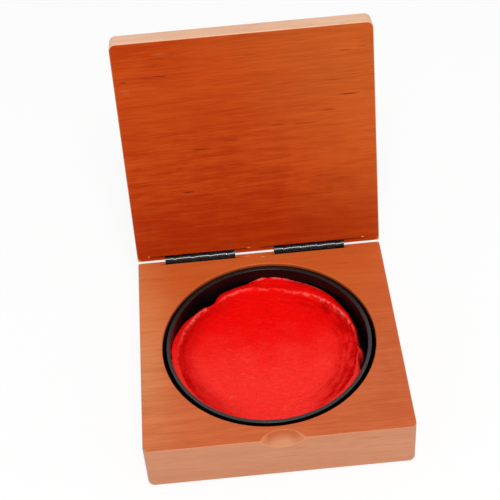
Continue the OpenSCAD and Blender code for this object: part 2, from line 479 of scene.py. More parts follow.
class SEALBOX_OT_lid(bpy.types.Operator):
    """Models the wooden lid, shut, and swings it open"""

    bl_idname = "sealbox.lid"
    bl_label = "Wooden lid"

    def execute(self, context):
        wood, hinge = context.scene.sealbox_wood, context.scene.sealbox_hinge
        face = BASE_HIGH.z + wood.shut_gap
        low = Vector((BASE_LOW.x, BASE_LOW.y, face))
        high = Vector((BASE_HIGH.x, BASE_HIGH.y, face + wood.lid_thickness))
        panel = rounded_slab(
            "wooden_lid", low, high, wood, wood.meet_round, wood.outer_round
        )
        cutters = hinge_cutters(wood, hinge, face, 1, wood.lid_slot)
        combine(panel, cutters, "DIFFERENCE")
        smooth(panel)
        swing_open(panel)
        finish = wood_finish("lid_lacquer", wood, is_lid=True)
        dressed(panel, finish, "lid", "lid_wood", "lid_panel")
        return {"FINISHED"}


class SEALBOX_OT_cup(bpy.types.Operator):
    """Models the glossy black cup"""

    bl_idname = "sealbox.cup"
    bl_label = "Black cup"

    def execute(self, context):
        cup = context.scene.sealbox_cup
        outer, low, top = CUP_HIGH.x, CUP_LOW.z, CUP_HIGH.z
        inner, bed = outer - cup.wall, low + cup.floor
        outline = [(0, low), (outer * 0.5, low)]
        outline += arc(outer - cup.fillet, low + cup.fillet, cup.fillet, -90, 0, 10)
        outside, inside = cup.rim_outside, cup.rim_inside
        outline += arc(outer - outside, top - outside, outside, 0, 90, 8)
        outline += arc(inner + inside, top - inside, inside, 90, 180, 10)
        outline += arc(inner - cup.fillet, bed + cup.fillet, cup.fillet, 0, -90, 10)
        outline += [(inner * 0.5, bed), (0, bed)]
        piece = smooth(spun("black_cup", outline), 50, weighted=False)
        finish = plastic_finish(
            "cup_plastic", cup.black, roughness=0.24, specular=0.20, waviness=0.15,
            rim_sheen_top=top / MM,
        )
        dressed(piece, finish, "base", "cup_black", "paste_cup")
        return {"FINISHED"}


class SEALBOX_OT_pad(bpy.types.Operator):
    """Models the sticky foam pad under the cup"""

    bl_idname = "sealbox.pad"
    bl_label = "Foam pad"

    def execute(self, context):
        low, high, radius = PAD_LOW.z, PAD_HIGH.z, PAD_HIGH.x
        bulge = (high - low) * 0.3
        flat = (0, radius * 0.5, radius * 0.9, radius - bulge)
        outline = [(r, low) for r in flat]
        outline += arc(radius - bulge, (low + high) / 2, bulge, -90, 90, 8)[1:-1]
        outline += [(r, high) for r in reversed(flat)]
        piece = smooth(spun("foam_pad", outline, 96), 50, weighted=False)
        finish = foam_finish("pad_foam", context.scene.sealbox_cup.foam)
        dressed(piece, finish, "base", "foam", "cup_foam_pad")
        return {"FINISHED"}


# Round the paste, anticlockwise from the right: angle in degrees, then in millimetres
# the height of its edge, the radius and the height of its ridge and its gap to the wall,
# and how sharp the ridge is and how strong its painted highlight is
EDGE, RIDGE, CREST, GAP, SHARP = 1, 2, 3, 4, 5
PASTE_ROUND = [
    (0, 9.8, 35.0, 15.9, 2.6, 0.05),
    (3, 9.8, 35.2, 16.0, 2.5, 0.05),
    (8, 9.8, 35.7, 16.0, 1.9, 0.20),
    (14, 10.2, 35.6, 16.1, 2.0, 0.85),
    (24, 12.6, 34.8, 16.3, 1.4, 1.00),
    (34, 13.4, 33.7, 16.4, 1.1, 1.00),
    (44, 14.8, 33.2, 16.4, 0.6, 0.95),
    (54, 14.9, 32.8, 16.3, 0.3, 0.80),
    (64, 14.8, 32.1, 16.1, 0.0, 0.50),
    (72, 15.4, 31.8, 15.9, 0.0, 0.35),
    (82, 16.4, 32.8, 15.9, 0.0, 0.20),
    (90, 16.5, 33.2, 15.9, 0.0, 0.30),
    (95, 15.2, 33.6, 16.0, 0.0, 0.45),
    (100, 13.4, 33.9, 16.1, 0.4, 0.50),
    (109, 12.6, 34.0, 16.2, 0.5, 0.55),
    (118, 12.4, 34.0, 16.2, 0.6, 0.50),
    (122, 11.4, 33.6, 15.9, 1.2, 0.30),
    (126, 9.8, 32.6, 15.5, 2.4, 0.00),
    (131, 9.6, 33.2, 15.5, 2.4, 0.10),
    (134, 11.4, 34.3, 16.1, 1.6, 0.80),
    (142, 12.2, 34.9, 16.3, 1.2, 0.85),
    (152, 14.6, 35.6, 16.4, 0.5, 0.62),
    (170, 16.9, 36.1, 16.4, 0.0, 0.22),
    (190, 16.8, 36.3, 16.2, 0.0, 0.03),
    (215, 16.3, 35.9, 15.8, 0.0, 0.05),
    (245, 15.9, 35.4, 15.5, 0.0, 0.00),
    (275, 15.8, 35.2, 15.4, 0.0, 0.00),
    (305, 15.9, 35.2, 15.5, 0.0, 0.00),
    (325, 15.6, 35.3, 15.7, 0.0, 0.05),
    (334, 14.0, 35.5, 15.8, 0.3, 0.08),
    (344, 9.8, 35.4, 15.9, 2.2, 0.12),
    (350, 9.8, 35.5, 15.9, 2.2, 0.12),
    (353, 12.0, 36.0, 15.9, 1.3, 0.25),
    (356, 9.8, 34.7, 15.8, 2.9, 0.05),
]


def round_value(column, angles):
    """Reads a column of PASTE_ROUND at angles in degrees, softened over a few degrees."""
    fine = np.arange(0, 360, 0.5)
    known = [row[0] for row in PASTE_ROUND]
    values = np.interp(fine, known, [row[column] for row in PASTE_ROUND], period=360)
    window = np.hanning(9)
    padded = np.concatenate([values[-4:], values, values[:4]])
    soft = np.convolve(padded, window / window.sum(), mode="valid")
    return np.interp(angles, fine, soft, period=360)


def ramp(values, start, end):
    """Rises smoothly from 0 at start to 1 at end."""
    share = np.clip((values - start) / (end - start), 0, 1)
    return share * share * (3 - 2 * share)


LOWEST_EDGE = 9.7  # height in millimetres below which the torn edge never falls


def fine_noise(x, y, z):
    """Smooth noise at a point, about -1 to 1."""
    return noise.noise(Vector((x, y, z)))


def within(value, start, end):
    """Rises evenly from 0 at start to 1 at end."""
    return max(0.0, min(1.0, (value - start) / (end - start)))


def wrinkles(x, y):
    """Height of the paste's wrinkles at a point in millimetres, about -1 to 1."""
    radius, turn = math.hypot(x, y), math.atan2(y, x)
    slow = fine_noise(x * 0.09, y * 0.09, 3.1)
    creases = fine_noise(x * 0.36, y * 0.48, 7.7) + 0.7 * fine_noise(x * 0.85, y, 1.3)
    arcs = math.sin(math.hypot(x, y + 14) * 2.3 + 5 * fine_noise(x * 0.1, y * 0.1, 5.5))
    arcs *= within(y, 4, 16) * (0.4 + fine_noise(x * 0.12, y * 0.12, 9.0))
    swept = fine_noise(radius * 0.9, turn * 5.5, 2.2)
    swept += 0.5 * fine_noise(radius * 2, turn * 9, 6.0)
    swept *= within(radius, 18, 27) * within(x - 0.6 * y, 6, 24)
    return 1.4 * slow + 0.8 * creases + 0.3 * arcs + 1.3 * swept


def dish_height(cup, radius, turn, torn, outside):
    """Height of the paste's top without its wrinkles, and its ridge's radius and
    sharpness, at points given by radius and angle."""
    sharp = round_value(SHARP, turn)
    edge = np.maximum(round_value(EDGE, turn) + 0.55 * torn, LOWEST_EDGE)
    ridge = round_value(RIDGE, turn) + 0.5 * torn
    crest = round_value(CREST, turn) + 0.12 * torn
    middle, lip = cup.paste_middle / MM, cup.lip_width / MM
    step = 0.15 + 0.5 * sharp
    inside = (1 - step) * np.minimum(radius / ridge, 1) ** 4
    inside += step * ramp(radius, ridge - lip, ridge)
    share = np.clip((radius - ridge) / (outside - ridge), 0, 1)
    drop = edge - crest
    beyond = np.where(drop > 0, share**2, 1 - np.sqrt(np.maximum(1 - share**2.2, 0)))
    valley = 0.28 * np.sin(np.pi * share) * ramp(drop, -1.2, 0)
    bead = 0.14 * sharp * np.exp(-(((radius - ridge) / 0.5) ** 2)) * (1 + torn)
    height = middle + (crest - middle) * inside + drop * beyond - valley + bead
    return height, ridge, sharp


def paste_masks(x, y, radius, turn, ridge, sharp, outside):
    """How strong the painted highlight on the ridge and back edge and the painted shade
    along both sides are, at points in millimetres.
    """
    ragged = np.array([
        fine_noise(a * 0.55, b * 0.55, 4.4) + 0.7 * fine_noise(a * 1.4, b * 1.4, 8.1)
        for a, b in zip(x, y)
    ])
    # painted highlight along the ridge, and below along the back's torn edge
    line = radius - ridge + 0.4 + 0.6 * ragged
    pale = np.exp(-((line / 0.30) ** 2)) + 0.18 * np.exp(-((line / 1.0) ** 2))
    pale *= sharp**1.3 * (0.8 + 1.3 * ragged)
    back_lump = ramp(turn, 44, 54) * (1 - ramp(turn, 94, 102))
    back_edge = ramp(radius / outside, 0.972, 0.99) * (0.65 + 1.2 * ragged)
    pale = np.maximum(pale, 0.75 * back_lump * back_edge)
    # painted shade along both sides of the paste
    side_shade = np.clip((np.abs(x) / np.maximum(radius, 1) - 0.25) / 0.6, 0, 1)
    side_shade *= 1 - ramp(ridge - radius, 0.5, np.where(x > 0, 12.5, 9.5))
    side_shade *= 1 - ramp(radius, ridge - 1, ridge)
    swept = np.array([
        fine_noise(r * 0.75, math.radians(t) * 5, 2.2) for r, t in zip(radius, turn)
    ])
    side_shade *= 0.85 + np.where(x > 0, 1.1, 0.4) * swept
    return pale, side_shade


def shape_paste(piece, cup, flat_top):
    """Moves the paste's flat top into a shallow dish with a ridge and a torn edge, and
    keeps in two attributes where the ridge's highlight and the sides' shade are painted."""
    mesh = piece.data
    points = np.zeros(len(mesh.vertices) * 3)
    mesh.vertices.foreach_get("co", points)
    points = points.reshape(-1, 3) / MM
    outside = PASTE_HIGH.x / MM
    x, y = points[:, 0].copy(), points[:, 1].copy()
    radius, turn = np.hypot(x, y), np.degrees(np.arctan2(y, x)) % 360
    torn = np.array([
        fine_noise(math.cos(t) * 9, math.sin(t) * 9, 0.4)
        + 0.7 * fine_noise(math.cos(t) * 24, math.sin(t) * 24, 1.9)
        for t in np.radians(turn)
    ])
    gap = round_value(GAP, turn)
    gap = np.maximum(gap + (0.3 + 0.15 * gap) * torn, 0) * ramp(radius / outside, 0.86, 1)
    points[:, :2] *= (1 - gap / np.maximum(radius, 1))[:, None]
    on_top = np.abs(points[:, 2] - flat_top / MM) < 1e-3
    x, y, radius, turn, torn = (values[on_top] for values in (x, y, radius, turn, torn))
    height, ridge, sharp = dish_height(cup, radius, turn, torn, outside)
    lumps = np.array([wrinkles(a, b) for a, b in zip(x, y)])
    height += cup.grain / MM * lumps * (1 - ramp(radius / outside, 0.97, 1))
    points[on_top, 2] = height
    mesh.vertices.foreach_set("co", (points * MM).ravel())
    mesh.update()
    masks = paste_masks(x, y, radius, turn, ridge, sharp, outside)
    for name, values in zip(("ridge_highlight", "side_shade"), masks):
        everywhere = np.zeros(len(points))
        everywhere[on_top] = np.clip(values, 0, 1)
        mesh.attributes.new(name, "FLOAT", "POINT").data.foreach_set("value", everywhere)


class SEALBOX_OT_paste(bpy.types.Operator):
    """Models the red seal paste as a shallow dish with a ridge and a torn edge"""

    bl_idname = "sealbox.paste"
    bl_label = "Seal paste"

    def execute(self, context):
        cup = context.scene.sealbox_cup
        low, flat_top, outside = PASTE_LOW.z, cup.paste_middle, PASTE_HIGH.x
        outline = [(0, low), (outside * 0.5, low)]
        outline += arc(outside - cup.fillet, low + cup.fillet, cup.fillet, -90, 0, 6)
        fine, coarse, between = 60, 54, 0.66  # rings, and where the fine ones end
        rings = [outside * (1 - (1 - between) * i / fine) for i in range(fine + 1)]
        rings += [outside * between * (1 - i / coarse) for i in range(1, coarse + 1)]
        outline += [(r, flat_top) for r in rings]
        piece = spun("red_paste", outline, 420)
        shape_paste(piece, cup, flat_top)
        smooth(piece, 60, weighted=False)
        finish = paste_finish("paste_red", cup)
        dressed(piece, finish, "base", "paste_red", "seal_paste")
        return {"FINISHED"}


# Which way a knuckle's outside is rolled out of line, and how far in millimetres at its
# left and right end
LID_ROLL = (Vector((0, -0.785, -0.62)), (-0.17, 0.12))
BASE_ROLL = (Vector((0, 0.788, 0.616)), (0.08, 0.08))
ROLLED_FROM = 1.2 * MM  # radius beyond which a knuckle is rolled
# The neck from a knuckle to the fin and the stop wing behind it, seen from the left with
# the wood below: places about the hinge line, and angles in degrees
NECK_FRONT, NECK_BACK, NECK_TOP, NECK_BITE = -2.12 * MM, -0.95 * MM, -0.89 * MM, 0.06 * MM
WING_START, WING_END, WING_INSIDE, BAR_INSIDE = -85, -52, 1.33 * MM, 1.8 * MM
# The fin's round edge, and the saw cut that it lies in
FIN_TOP, FIN_RADIUS, CUT_RADIUS, CUT_DEPTH = -0.59 * MM, 35.6 * MM, 36 * MM, 4.4 * MM
# What a neck and a wing stay inside the knuckle and the bar that they are joined to
INSET, INSET_RADIUS, INSET_ANGLE = 0.03 * MM, 0.02 * MM, 0.5


def knuckle(hinge, is_lid):
    """One knuckle along X: a tube with rounded ends, rolled a little out of line."""
    pitch = hinge.span / hinge.knuckles
    half, edge = (pitch - hinge.gap) / 2, hinge.edge
    outline = [(hinge.bore, -half + edge * 0.5), (hinge.bore + edge * 0.5, -half)]
    outline += arc(hinge.barrel - edge, -half + edge, edge, -90, 0, 4)
    outline += arc(hinge.barrel - edge, half - edge, edge, 0, 90, 4)
    outline += [(hinge.bore + edge * 0.5, half), (hinge.bore, half - edge * 0.5)]
    tube = spun("knuckle", [*outline, outline[0]], 64)
    tube.rotation_euler = (0, math.pi / 2, 0)
    settle(tube)
    direction, ends = LID_ROLL if is_lid else BASE_ROLL
    bpy.ops.object.mode_set(mode="EDIT")
    for side, far in zip((-1, 1), ends):
        pick(
            tube, "VERT",
            lambda p: p.x * side > 0 and math.hypot(p.y, p.z) > ROLLED_FROM,
        )
        bpy.ops.transform.translate(value=direction * far * MM)
    bpy.ops.object.mode_set(mode="OBJECT")
    return tube


def leaf(name, hinge, face, first, is_lid):
    """A leaf about the origin: knuckles, necks, wings and the fin, which points down."""
    pitch = hinge.span / hinge.knuckles
    half = (pitch - hinge.gap) / 2 - INSET
    foot = -face - NECK_BITE
    neck = [(NECK_FRONT, NECK_TOP), (NECK_FRONT, foot), (NECK_BACK, foot),
            (NECK_BACK, NECK_TOP)]
    reach, start, end = hinge.wing_reach, WING_START, WING_END
    bar = arc(0, 0, reach, start, end, 10) + arc(0, 0, BAR_INSIDE, end, start, 10)
    start, end = start + INSET_ANGLE, end - INSET_ANGLE
    wing = arc(0, 0, reach - INSET_RADIUS, start, end, 10)
    wing += arc(0, 0, WING_INSIDE, end, start, 10)
    one = knuckle(hinge, is_lid)
    combine(one, [prism("neck", neck, -half, half)], "UNION")
    combine(one, [prism("wing", wing, -half, half)], "UNION")
    shifts = [
        ((i + 0.5) * pitch - hinge.span / 2, 0, 0)
        for i in range(first, hinge.knuckles, 2)
    ]
    copies = [twin(one, "knuckle_copy", shift) for shift in shifts]
    bpy.data.objects.remove(one)
    whole = prism(name, bar, -hinge.span / 2, hinge.span / 2)
    centre = CUT_RADIUS - (face + CUT_DEPTH)
    side = min(hinge.span / 2, math.sqrt(FIN_RADIUS**2 - (centre - FIN_TOP) ** 2))
    turn = math.degrees(math.asin(side / FIN_RADIUS))
    fin = [(side, FIN_TOP), (-side, FIN_TOP)]
    fin += arc(0, centre, FIN_RADIUS, -90 - turn, -90 + turn, 24)
    plate = prism("fin", fin, hinge.fin_near, hinge.fin_far)
    plate.rotation_euler = (0, 0, -math.pi / 2)
    settle(plate)
    return combine(whole, [*copies, plate], "UNION")


class SEALBOX_OT_hinges(bpy.types.Operator):
    """Models the leaves of both hinges and gives the pins their steel"""

    bl_idname = "sealbox.hinges"
    bl_label = "Barrel hinges"

    def execute(self, context):
        hinge, wood = context.scene.sealbox_hinge, context.scene.sealbox_wood
        black = plastic_finish(
            "hinge_plastic", hinge.black, roughness=0.05, specular=0.42, waviness=0.03
        )
        steel = steel_finish("pin_steel", hinge.steel)
        above = HINGE_LINE.z - BASE_HIGH.z
        base_leaf = smooth(leaf("base_leaf", hinge, above, 0, False), 40)
        lid_leaf = leaf("lid_leaf", hinge, wood.shut_gap - above, 1, True)
        edit(lid_leaf)
        bpy.ops.transform.mirror(
            constraint_axis=(False, False, True), center_override=(0, 0, 0)
        )
        smooth(closed(lid_leaf), 40)  # after the mirror, which would spoil the normals
        for side, x in (("left", -hinge.left), ("right", hinge.right)):
            place = (x, HINGE_LINE.y, HINGE_LINE.z)
            lower = twin(base_leaf, side + "_leaf_in_base", place)
            upper = swing_open(twin(lid_leaf, side + "_leaf_in_lid", place))
            dressed(lower, black, "base", "hinge_black", side + "_hinge_base_leaf")
            dressed(upper, black, "lid", "hinge_black", side + "_hinge_lid_leaf")
            pin = frame["nodes"][side + "_hinge_pin"]
            pin.data.materials.clear()
            pin.data.materials.append(steel)
        for pattern in (base_leaf, lid_leaf):
            bpy.data.objects.remove(pattern)
        return {"FINISHED"}


def put(tree, kind, settings=None, values=None):
    """Adds a node, with its settings, and its inputs from values or other outputs."""
    made = tree.nodes.new("ShaderNode" + kind)
    for key, value in (settings or {}).items():
        setattr(made, key, value)
    for key, value in (values or {}).items():
        if isinstance(value, bpy.types.NodeSocket):
            tree.links.new(value, made.inputs[key])
        else:
            made.inputs[key].default_value = value
    return made


def new_material(name):
    """A material with an empty tree but for its output and a Principled shader."""
    material = bpy.data.materials.new(name)
    material.use_nodes = True
    tree = material.node_tree
    tree.nodes.clear()
    shader = put(tree, "BsdfPrincipled")
    put(tree, "OutputMaterial", None, {"Surface": shader.outputs[0]})
    return material, tree, shader


def scaled(tree, source, scale):
    """Coordinates times a scale for each axis."""
    values = {"Vector": source, "Scale": scale}
    return put(tree, "Mapping", None, values).outputs[0]


def millimetres(tree):
    """Object coordinates in millimetres."""
    place = put(tree, "TexCoord").outputs["Object"]
    return scaled(tree, place, (1 / MM,) * 3)


def noise_of(tree, source, scale, detail=3.0, rough=0.55, twist=0.0):
    """Noise with its own scale along each axis, in features per millimetre."""
    return put(tree, "TexNoise", None, {
        "Vector": scaled(tree, source, scale), "Scale": 1.0, "Detail": detail,
        "Roughness": rough, "Distortion": twist,
    }).outputs[0]


def span_of(tree, value, low, high, to_low=0.0, to_high=1.0, soft=True):
    """Maps a value's range to another one."""
    return put(tree, "MapRange", {
        "interpolation_type": "SMOOTHSTEP" if soft else "LINEAR"
    }, {"Value": value, 1: low, 2: high, 3: to_low, 4: to_high}).outputs[0]


def maths(tree, operation, *values):
    """Works out one, two or three values."""
    inputs = dict(enumerate(values))
    return put(tree, "Math", {"operation": operation}, inputs).outputs[0]


def product(tree, first, second):
    """Multiplies two values."""
    return maths(tree, "MULTIPLY", first, second)


def spread(tree, x, y):
    """Distance of (x, y) from the origin."""
    return maths(tree, "SQRT", maths(tree, "MULTIPLY_ADD", x, x, product(tree, y, y)))


def blended(tree, share, first, second):
    """Mixes two colours."""
    inputs = {0: share, 6: first, 7: second}
    return put(tree, "Mix", {"data_type": "RGBA"}, inputs).outputs[2]


def bumped(tree, height, depth, strength=1.0, under=None):
    """A bump of a real depth in metres."""
    values = {"Height": height, "Distance": depth, "Strength": strength}
    if under is not None:
        values["Normal"] = under
    return put(tree, "Bump", None, values).outputs[0]


def rgba(colour_value, factor=1.0):
    """A colour times a factor, as a shader takes it."""
    return (*(min(c * factor, 1.0) for c in colour_value), 1.0)


def connect(tree, shader, body, rough, normal):
    """Gives a shader its colour, roughness and bump."""
    for name, value in (("Base Color", body), ("Roughness", rough), ("Normal", normal)):
        tree.links.new(value, shader.inputs[name])


# painted reflection: the grey on the cup's rim top
RIM_SHEEN_GREY = (0.045, 0.044, 0.044)
# Marks on the lid's inner face and the base's top: x and y in millimetres with the lid
# shut, half length, half width and strength
LID_PORES = [
    (-37.5, -33.3, 3.6, 0.20, 0.50), (-32.0, -33.6, 3.4, 0.24, 0.85),
    (-46.2, -32.3, 1.9, 0.22, 0.70), (38.6, -37.4, 3.4, 0.20, 0.60),
    (45.5, -38.4, 2.2, 0.18, 0.40), (34.0, -25.7, 3.8, 0.20, 0.55),
    (39.6, -19.2, 4.3, 0.24, 0.95), (31.4, -13.2, 3.6, 0.22, 0.70),
    (11.8, -8.7, 3.6, 0.26, 0.65), (22.5, -8.4, 6.4, 0.20, 0.50),
    (4.6, -6.5, 3.8, 0.24, 0.35), (-7.2, -4.0, 3.4, 0.24, 0.50),
    (-19.4, -1.2, 4.4, 0.24, 0.85), (-25.8, 17.4, 2.9, 0.26, 0.90),
    (-26.0, 4.6, 1.9, 0.30, 0.30), (-19.6, -18.4, 2.0, 0.30, 0.25),
    (-0.8, 15.2, 2.0, 0.26, 0.30), (36.5, 17.0, 3.4, 0.18, 0.35),
    (42.6, 46.3, 2.2, 0.34, 0.75),
]
LID_SCRATCHES = [
    (-46.0, -28.9, 2.2, 0.10, 0.32), (-45.6, -27.6, 1.8, 0.10, 0.26),
    (-31.0, -42.4, 4.2, 0.5, 0.06), (43.2, 45.7, 0.7, 0.30, 0.7),
    (-4.0, 45.9, 0.9, 0.26, 0.7), (-45.2, 45.9, 0.5, 0.22, 0.6),
]
BASE_PORES = [
    (2.4, 46.3, 1.4, 0.22, 0.5), (-36.0, -40.6, 8.0, 0.35, 0.16),
    (-22.0, -43.4, 6.0, 0.28, 0.14), (38.0, -36.5, 5.0, 0.28, 0.14),
    (33.0, 37.5, 3.6, 0.24, 0.35), (-42.5, 38.2, 4.4, 0.30, 0.28),
]
BASE_SCRATCHES = [
    (1.4, 45.5, 1.0, 0.24, 0.7), (-4.8, 46.6, 1.2, 0.20, 0.4),
]


def distance(tree, mapping):
    """Length of the vector that a mapping node gives."""
    return put(
        tree, "VectorMath", {"operation": "LENGTH"}, {0: mapping.outputs[0]}
    ).outputs["Value"]


def marks(tree, source, rows, height):
    """A mask of thin marks along the grain, each a flat ellipse at a face's height."""
    found = None
    for x, y, half, thin, dark in rows:
        near = put(tree, "Mapping", {"vector_type": "TEXTURE"}, {
            "Vector": source, "Location": (x, y, height), "Rotation": (0.0, 0.0, 0.012),
            "Scale": (half, thin * 1.4, 1.2),
        })
        mask = span_of(tree, distance(tree, near), 1.1, 0.5, 0.0, dark)
        found = mask if found is None else maths(tree, "MAXIMUM", found, mask)
    return found


def grain_of(tree, place, y, is_lid):
    """The wood's fibres, clouds and tone, and a mask of its small dark flecks."""
    shifted = put(tree, "Mapping", None, {
        "Vector": place, "Location": (37.0, 11.0, 5.0) if is_lid else (-61.0, 87.0, 31.0),
        "Rotation": (0.0, 0.0, 0.015 if is_lid else -0.01),
    }).outputs[0]
    fibre = noise_of(tree, shifted, (0.09, 2.4, 2.4), 3.0, 0.6)
    streak = noise_of(tree, shifted, (0.020, 0.30, 0.30), 3.0, 0.5, 0.4)
    cloud = noise_of(tree, shifted, (0.014, 0.03, 0.03), 2.0, 0.5)
    figure = noise_of(tree, shifted, (0.22, 0.10, 0.10), 1.0, 0.5, 0.5)
    mottle = noise_of(tree, shifted, (0.06, 0.42, 0.42), 2.0, 0.5, 0.6)
    mottle = maths(tree, "MULTIPLY_ADD", figure, 0.22, product(tree, mottle, 0.78))
    strength = span_of(tree, y, -22.0, 14.0, 0.10, 0.48) if is_lid else 0.20
    tone = maths(tree, "MULTIPLY_ADD", streak, 0.20, product(tree, fibre, 0.34))
    tone = maths(tree, "MULTIPLY_ADD", cloud, 0.24, tone)
    tone = maths(tree, "MULTIPLY_ADD", maths(tree, "SUBTRACT", mottle, 0.5), strength,
                 maths(tree, "ADD", tone, 0.11))
    patch = span_of(tree, noise_of(tree, shifted, (0.02, 0.035, 0.035), 1.0), 0.42, 0.62)
    fleck = noise_of(tree, shifted, (0.16, 4.2, 4.2), 2.0, 0.5)
    fleck = product(tree, span_of(tree, fleck, 0.60, 0.76),
                    span_of(tree, patch, 0.0, 1.0, 0.08, 0.28))
    dash = noise_of(tree, shifted, (0.085, 1.7, 1.7), 1.0, 0.5)
    dash = product(tree, span_of(tree, dash, 0.71, 0.78), patch)
    return fibre, cloud, tone, maths(tree, "MAXIMUM", fleck, product(tree, dash, 0.45))


def face_colour(tree, wood, x, y, cloud, tone, is_lid):
    """The flat faces: pale and deep bands, yellower at one side, deeper by the hinges, which on
    the base is painted shade where the top's sheen fades.
    """
    if is_lid:
        pale, deep, amber, back = wood.lid_pale, wood.lid_deep, wood.lid_amber, wood.lid_low
        along = maths(tree, "MULTIPLY_ADD", y, -0.5, x)
        along = maths(tree, "MULTIPLY_ADD", cloud, 40.0, along)
        yellow = span_of(tree, along, 8.0, 85.0, 0.0, 0.95)
        deeper = span_of(tree, y, 2.0, 42.0, 0.0, 0.45)
    else:
        pale, deep, amber, back = (
            wood.base_pale, wood.base_deep, wood.base_amber, wood.base_back_shade
        )
        along = maths(tree, "MULTIPLY_ADD", cloud, 12.0, x)
        yellow = product(tree, span_of(tree, along, -26.0, -44.0, 0.0, 0.6),
                         span_of(tree, y, -42.0, -8.0, 0.45, 1.0))
        # painted shade: the base's top deeper towards the hinges, where its sheen fades
        deeper = span_of(tree, y, -25.0, 42.0, 0.0, 0.5)
    bands = span_of(tree, tone, 0.38, 0.63)
    body = blended(tree, bands, rgba(pale), rgba(deep))
    warm = blended(tree, bands, rgba(amber), rgba(amber, 0.74))
    body = blended(tree, yellow, body, warm)
    return blended(tree, deeper, body, rgba(back))


def painted_side_sheen(tree, wood, y, tone, is_lid):
    """The narrow sides, paler than the faces by a painted sheen, and palest along the lid's
    front by a painted highlight.
    """
    front = wood.lid_front_highlight if is_lid else wood.base_side_sheen
    bands = span_of(tree, tone, 0.36, 0.62)
    deep = [c * share for c, share in zip(front, (0.88, 0.78, 0.72))]
    sides = blended(tree, bands, rgba(front), rgba(deep))
    if is_lid:
        others = blended(tree, bands, rgba(wood.lid_side_sheen), rgba(wood.lid_side_sheen, 0.8))
        sides = blended(tree, span_of(tree, y, -46.5, -44.5), sides, others)
    return sides


def past_faces(tree, wood, x, y):
    """How far a point lies past the round corners and edges of the flat faces."""
    past = []
    for value, half in ((x, BASE_HIGH.x), (y, BASE_HIGH.y)):
        away = maths(tree, "ABSOLUTE", value)
        away = maths(tree, "SUBTRACT", away, (half - wood.corner) / MM)
        past.append(maths(tree, "MAXIMUM", away, 0.0))
    return maths(tree, "SUBTRACT", spread(tree, *past), 2.05)


def opened_wood(tree, wood, place, fibre, body):
    """Adds painted shade on the recess's wall and the thumb notch with painted shade at its top
    and painted highlights at its lower ends and along its rim, and gives a mask of the notch.
    """
    x, y, z = put(tree, "SeparateXYZ", None, {0: place}).outputs
    top, side = BASE_HIGH.z / MM, wood.base_side_sheen
    # painted shade on the recess's wall, darker from just below its mouth downward
    in_recess = span_of(tree, spread(tree, x, y), 42.2, 41.6)
    shaded_depth = span_of(tree, z, top - 0.9, top - 1.9)
    body = blended(tree, product(tree, in_recess, shaded_depth), body, rgba(wood.recess))
    out, middle = ball_offset(wood) / MM, wood.notch_offset / MM
    away = distance(tree, put(tree, "Mapping", {"vector_type": "TEXTURE"}, {
        "Vector": place, "Location": (middle, BASE_LOW.y / MM - out, top + out),
    }))
    in_notch = span_of(tree, away, 11.32, 11.08)
    # painted shade in the notch: darker towards its top, with the sides' painted sheen towards
    # its bottom
    scoop_shading = blended(tree, span_of(tree, z, 20.7, 17.4), rgba(wood.base_pale, 0.78),
                    rgba(side, 0.97))
    from_middle = maths(tree, "ABSOLUTE", maths(tree, "SUBTRACT", x, middle))
    # painted highlights at the notch's lower ends
    ends = span_of(tree, from_middle, 4.5, 7.6, 0.0, 0.5)
    scoop_shading = blended(tree, ends, scoop_shading, rgba(side, 1.25))
    lines = span_of(tree, fibre, 0.4, 0.7, 0.0, 0.2)
    scoop_shading = blended(tree, lines, scoop_shading, rgba(wood.base_deep))
    body = blended(tree, in_notch, body, scoop_shading)
    # painted highlight along the notch's rim
    rim = product(tree, span_of(tree, away, 11.02, 11.14, 0.0, 0.35),
                  span_of(tree, away, 11.50, 11.30))
    body = blended(tree, rim, body, rgba(wood.base_amber))
    return body, in_notch


def wood_finish(name, wood, is_lid=False):
    """Lacquered wood with the grain along X, in the place that it has when shut."""
    material, tree, shader = new_material(name)
    place = millimetres(tree)
    if is_lid:
        turn = Matrix.Rotation(OPEN_ANGLE, 3, "X")
        place = put(tree, "Mapping", None, {
            "Vector": place, "Rotation": (OPEN_ANGLE, 0.0, 0.0),
            "Location": (HINGE_LINE - turn @ HINGE_LINE) / MM,
        }).outputs[0]
    x, y = put(tree, "SeparateXYZ", None, {0: place}).outputs[:2]
    fibre, cloud, tone, dark = grain_of(tree, place, y, is_lid)
    body = face_colour(tree, wood, x, y, cloud, tone, is_lid)
    beyond = span_of(tree, past_faces(tree, wood, x, y), 0.0, 0.4)
    # painted sheen and highlight on the narrow sides, past the flat faces
    body = blended(tree, beyond, body, painted_side_sheen(tree, wood, y, tone, is_lid))
    pores = LID_PORES if is_lid else BASE_PORES
    scratches = LID_SCRATCHES if is_lid else BASE_SCRATCHES
    top = BASE_HIGH.z / MM
    broken = span_of(tree, fibre, 0.35, 0.65, 1.0, 0.6)
    pore = product(tree, marks(tree, place, pores, top), broken)
    dark = maths(tree, "MAXIMUM", dark, pore)
    body = blended(tree, dark, body, rgba(wood.pore))
    chip = product(tree, marks(tree, place, scratches, top), broken)
    body = blended(tree, chip, body, rgba(wood.scratch))
    rough = span_of(tree, fibre, 0.3, 0.7, 0.34, 0.44)
    if not is_lid:
        body, in_notch = opened_wood(tree, wood, place, fibre, body)
        rough = maths(tree, "MULTIPLY_ADD", in_notch, 0.3, rough)
    relief = maths(tree, "MULTIPLY_ADD", dark, -1.0, product(tree, fibre, 0.35))
    connect(tree, shader, body, rough, bumped(tree, relief, 0.05 * MM, 0.35))
    shader.inputs["Specular IOR Level"].default_value = 0.04 if is_lid else 0.20
    return material


